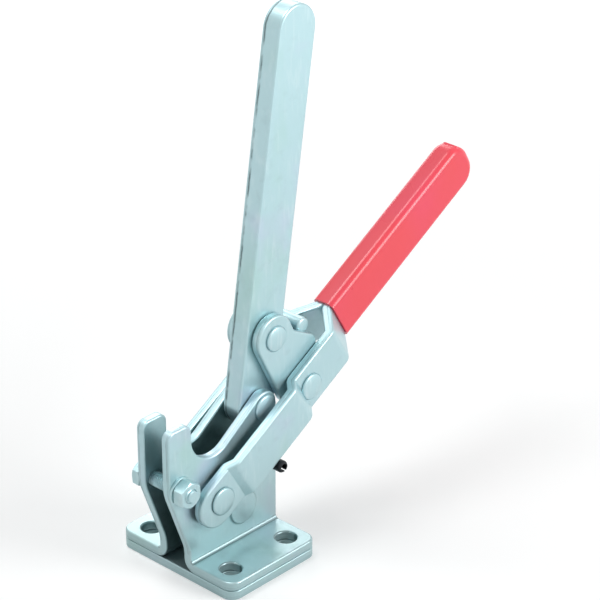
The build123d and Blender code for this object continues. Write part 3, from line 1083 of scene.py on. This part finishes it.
class CLAMP_OT_arm(bpy.types.Operator):
    """Models the flat clamping arm with its round ends and pivot holes"""

    bl_idname = "clamp.arm"
    bl_label = "Arm"

    def execute(self, context):
        low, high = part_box("arm")
        thickness = high.y - low.y
        half_width = min(ARM_PIVOT.x - low.x, ARM_PIVOT.z - low.z)
        tip = Vector((high.x - half_width, 0, high.z - half_width))
        lean = (tip - ARM_PIVOT).normalized()
        deselect_all()
        bpy.ops.mesh.primitive_circle_add(
            vertices=96,
            radius=half_width,
            fill_type="NGON",
            location=(tip.x, low.y, tip.z),
            rotation=(pi / 2, 0, 0),
        )
        arm = new_piece("clamp_arm")
        select_points(arm, lambda point: (point - tip).dot(lean) < -0.0001 * MM)
        bpy.ops.transform.translate(value=ARM_PIVOT - tip)
        bpy.ops.mesh.select_all(action="SELECT")
        extrude((0, thickness, 0))
        turn_outward()
        round_edges(arm, shape().arm_round, 4, 60)
        arm_bore = shape().rivet_shank + 1.1 * MM
        crank_bore = shape().rivet_shank + 0.1 * MM
        drill(arm, ARM_PIVOT, arm_bore, 3 * thickness)
        drill(arm, CRANK_PIVOT, crank_bore, 3 * thickness)
        smooth(arm, 30)
        hand_over(arm, "arm", "zinc", zinc("zinc_arm", bar_rim(thickness)), "arm")
        return {"FINISHED"}


def head_outline(head, rise, crown):
    """A domed head's section from its middle to its underside, as radius and depth pairs."""
    shares = (0, 0.3, 0.55, 0.75, 0.9, 1)
    return [(head * share, crown * share**3) for share in shares] + [(head, rise)]


def rivet_outline(low, high, low_head, high_head, shank, section):
    """Half the section of a rivet between two Y levels, with a head at the ends asked for."""
    rise = section[-1][1]
    outline = [(0, low), (shank, low)]
    if low_head:
        outline = [(radius, low + depth) for radius, depth in section] + [(shank, low + rise)]
    if high_head:
        outline += [(shank, high - rise)]
        outline += [(radius, high - depth) for radius, depth in reversed(section)]
    else:
        outline += [(shank, high), (0, high)]
    return outline


class CLAMP_OT_rivets(bpy.types.Operator):
    """Turns the rivets that the handle, arm, links and crank turn on"""

    bl_idname = "clamp.rivets"
    bl_label = "Rivets"

    def execute(self, context):
        rivets = (
            ("handle_rivet", "lever_rivet", "base", True, True),
            ("arm_rivet", "arm_pivot_rivet", "base", True, True),
            ("crank_rivet", "link_crank_rivet", "link", True, True),
            ("near_link_rivet", "near_lever_rivet", "handle", True, False),
            ("far_link_rivet", "far_lever_rivet", "handle", False, True),
        )
        made = shape()
        finish = zinc("zinc_rivet", rub=0.9)
        for node, name, body, low_head, high_head in rivets:
            low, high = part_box(node)
            section = head_outline((high.x - low.x) / 2, made.head_height, made.rivet_crown)
            outline = rivet_outline(
                low.y, high.y, low_head, high_head, made.rivet_shank / 2, section
            )
            rivet = turned(name, box_centre(node), outline)
            round_edges(rivet, made.rivet_round, 4, 50)
            smooth(rivet)
            hand_over(rivet, body, "zinc", finish, node)
        return {"FINISHED"}


class CLAMP_OT_pins(bpy.types.Operator):
    """Rolls the slit spring pin under the handle and turns the stop pin between the links"""

    bl_idname = "clamp.pins"
    bl_label = "Pins"

    def execute(self, context):
        self.roll_spring_pin()
        self.turn_stop_pin()
        return {"FINISHED"}

    def roll_spring_pin(self):
        low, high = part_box("spring_pin")
        outer = (high.z - low.z) / 2
        centre = Vector((high.x - outer, 0, box_centre("spring_pin").z))
        bore = outer - 1.0 * MM
        mouth = outer - 0.5 * MM
        nose = 0.8 * MM
        slit = radians(24)
        slit_middle = radians(-42)
        outline = [
            (bore, low.y),
            (mouth, low.y),
            (outer, low.y + nose),
            (outer, high.y - nose),
            (mouth, high.y),
            (bore, high.y),
        ]
        pin = section_chain("roll_pin", centre, outline)
        edit_whole(pin)
        bpy.ops.mesh.edge_face_add()
        bpy.ops.transform.rotate(
            value=slit_middle - slit / 2, orient_axis="Y", center_override=centre
        )
        bpy.ops.mesh.spin(steps=48, angle=2 * pi - slit, center=centre, axis=ACROSS)
        leave_edit()
        mend_normals(pin)
        round_edges(pin, 0.08 * MM, 2, 25)
        smooth(pin)
        hand_over(pin, "base", "black_oxide", black_oxide(), "spring_pin")

    def turn_stop_pin(self):
        low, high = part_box("stop_pin")
        radius = (high.x - low.x) / 2
        face = radius * 0.8
        fall = 0.05 * MM
        nose = 0.7 * MM
        outline = [
            (0, low.y),
            (face, low.y + fall),
            (radius, low.y + nose),
            (radius, high.y - nose),
            (face, high.y - fall),
            (0, high.y),
        ]
        pin = turned("stop_bar", box_centre("stop_pin"), outline)
        round_edges(pin, 0.3 * MM, 3, 20)
        smooth(pin)
        hand_over(pin, "link", "zinc", zinc("zinc_rivet", rub=0.9), "stop_pin")


class CLAMP_OT_horn_bolt(bpy.types.Operator):
    """Models the bolt across the horns with its thread, washer and nut"""

    bl_idname = "clamp.horn_bolt"
    bl_label = "Horn bolt"

    def execute(self, context):
        finish = zinc("zinc_fastener", rub=0.8)
        place = on_middle(box_centre("horn_nut"))
        flats = box_size("horn_nut").z
        low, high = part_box("horn_bolt")
        head_low = box_size("arm_rivet").y / 2 - shape().head_height
        bolt = hexagon("hex_bolt", place, flats, head_low, high.y)
        round_edges(bolt, HEXAGON_ROUND, 2, 20)
        merge_into(bolt, self.threaded(place, low.y, head_low + 0.5 * MM))
        smooth(bolt)
        hand_over(bolt, "base", "zinc", finish, "horn_bolt")

        low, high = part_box("horn_nut")
        nut = hexagon("hex_nut", place, flats, low.y, high.y)
        drill(nut, box_centre("horn_nut"), NUT_BORE)
        round_edges(nut, HEXAGON_ROUND, 2, 20)
        smooth(nut)
        hand_over(nut, "base", "zinc", finish, "horn_nut")

        low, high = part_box("horn_washer")
        ring = (high.x - low.x) / 2
        bore = NUT_BORE / 2
        outline = [(bore, low.y), (ring, low.y), (ring, high.y), (bore, high.y), (bore, low.y)]
        washer = turned("flat_washer", place, outline)
        round_edges(washer, 0.2 * MM, 3)
        smooth(washer)
        hand_over(washer, "base", "zinc", finish, "horn_washer")
        return {"FINISHED"}

    def threaded(self, place, tip, end):
        """A chamfered core with a screw thread wound round it along Y."""
        pitch = shape().thread_pitch
        core = BOLT_RADIUS - 0.6 * pitch
        root = core + 0.1 * MM
        foot = core - 0.1 * MM
        outline = [(0, tip), (core - 0.3 * MM, tip), (root, tip + 0.4 * MM), (root, end), (0, end)]
        rod = turned("core", place, outline)
        start = tip + 0.25 * MM
        ridge = ((foot, 0), (BOLT_RADIUS, 0.4), (BOLT_RADIUS, 0.54), (foot, 0.94), (foot, 0))
        section = [(reach, start + share * pitch) for reach, share in ridge]
        thread = section_chain("thread", place, section)
        mend_normals(thread)
        bpy.context.scene.cursor.location = place
        bpy.ops.object.origin_set(type="ORIGIN_CURSOR")
        screw = thread.modifiers.new("screw", "SCREW")
        screw.axis = "Y"
        screw.steps = 32
        screw.render_steps = 32
        screw.iterations = int((end - start) / pitch) - 1
        screw.screw_offset = pitch
        bpy.ops.object.modifier_apply(modifier=screw.name)
        place_in_mesh(thread)
        mend_normals(thread)
        edit_whole(thread)
        bpy.ops.mesh.fill_holes(sides=8)
        turn_outward()
        bpy.context.scene.cursor.location = (0, 0, 0)
        merge_into(rod, thread)
        return rod


class CLAMP_OT_grip(bpy.types.Operator):
    """Models the dipped vinyl grip as a hollow sleeve with a rounded tip"""

    bl_idname = "clamp.grip"
    bl_label = "Grip"

    def execute(self, context):
        made = shape()
        angle = made.handle_angle
        along = heading(angle)
        up = Vector((-sin(angle), 0, cos(angle)))
        reach = GRIP_TIP - GRIP_MOUTH
        width = box_size("grip").y
        centre = HANDLE_PIVOT + along * (GRIP_MOUTH + GRIP_TIP) / 2 + up * GRIP_RISE

        def forward(point):
            """How far a point lies towards the tip, from -0.5 at the mouth to 0.5."""
            return (point - centre).dot(along) / reach

        def tip_corner(first, second):
            at_tip = min(forward(first), forward(second)) > 0.45
            return at_tip and abs((first - second).y) > width / 2

        def long_rim(first, second):
            at_sides = min(abs(first.y), abs(second.y)) > width * 0.49
            at_mouth = max(forward(first), forward(second)) < -0.499
            return at_sides and first.y * second.y > 0 and not at_mouth

        def mouth_face(middle, normal):
            return normal.dot(along) < -0.99 and forward(middle) < -0.499

        deselect_all()
        bpy.ops.mesh.primitive_cube_add(
            size=1, location=centre, rotation=(0, -angle, 0), scale=(reach, width, GRIP_HEIGHT)
        )
        grip = new_piece("vinyl_grip")
        select_edges(grip, tip_corner)
        bpy.ops.mesh.bevel(offset=made.grip_tip, segments=12, affect="EDGES")
        select_edges(grip, long_rim)
        bevel_selected(made.grip_round, 8)
        select_faces(grip, mouth_face)
        bpy.ops.mesh.inset(thickness=made.grip_wall)
        extrude(along * (reach - 2 * made.grip_wall))
        turn_outward()
        smooth(grip, 40)
        hand_over(grip, "handle", "red_vinyl", red_vinyl(), "grip")
        return {"FINISHED"}


class CLAMP_OT_inner_parts(bpy.types.Operator):
    """Gives the bush, pivot washers and spacer between the plates their plating"""

    bl_idname = "clamp.inner_parts"
    bl_label = "Inner parts"

    def execute(self, context):
        for node in ("handle_bush", "near_pivot_washer", "far_pivot_washer", "link_spacer"):
            solid = frame["nodes"][node]
            solid.data.materials.clear()
            solid.data.materials.append(zinc("zinc_inner"))
        return {"FINISHED"}


PIECE_OPERATORS = (
    CLAMP_OT_stage,
    CLAMP_OT_base_sheets,
    CLAMP_OT_handle_plates,
    CLAMP_OT_links,
    CLAMP_OT_arm,
    CLAMP_OT_rivets,
    CLAMP_OT_pins,
    CLAMP_OT_horn_bolt,
    CLAMP_OT_grip,
    CLAMP_OT_inner_parts,
)


class CLAMP_PT_pieces(bpy.types.Panel):
    """Lists the clamp's pieces and the settings that they are made with"""

    bl_idname = "CLAMP_PT_pieces"
    bl_label = "Toggle clamp"
    bl_space_type = "VIEW_3D"
    bl_region_type = "UI"
    bl_category = "Clamp"

    def draw(self, context):
        layout = self.layout
        for settings in (context.scene.clamp_shape, context.scene.clamp_finish):
            column = layout.column(align=True)
            for key in settings.__annotations__:
                column.prop(settings, key)
        column = layout.column(align=True)
        for kind in PIECE_OPERATORS:
            column.operator(kind.bl_idname)


CLASSES = (ClampShapeSettings, ClampFinishSettings, *PIECE_OPERATORS, CLAMP_PT_pieces)


def register():
    for kind in CLASSES:
        bpy.utils.register_class(kind)
    bpy.types.Scene.clamp_shape = bpy.props.PointerProperty(type=ClampShapeSettings)
    bpy.types.Scene.clamp_finish = bpy.props.PointerProperty(type=ClampFinishSettings)


def unregister():
    del bpy.types.Scene.clamp_finish
    del bpy.types.Scene.clamp_shape
    for kind in reversed(CLASSES):
        bpy.utils.unregister_class(kind)


def main():
    register()
    bpy.ops.clamp.stage()
    bpy.ops.clamp.base_sheets()
    bpy.ops.clamp.handle_plates()
    bpy.ops.clamp.links()
    bpy.ops.clamp.arm()
    bpy.ops.clamp.rivets()
    bpy.ops.clamp.pins()
    bpy.ops.clamp.horn_bolt()
    bpy.ops.clamp.grip()
    bpy.ops.clamp.inner_parts()
    deselect_all()


if __name__ == "__main__":
    main()
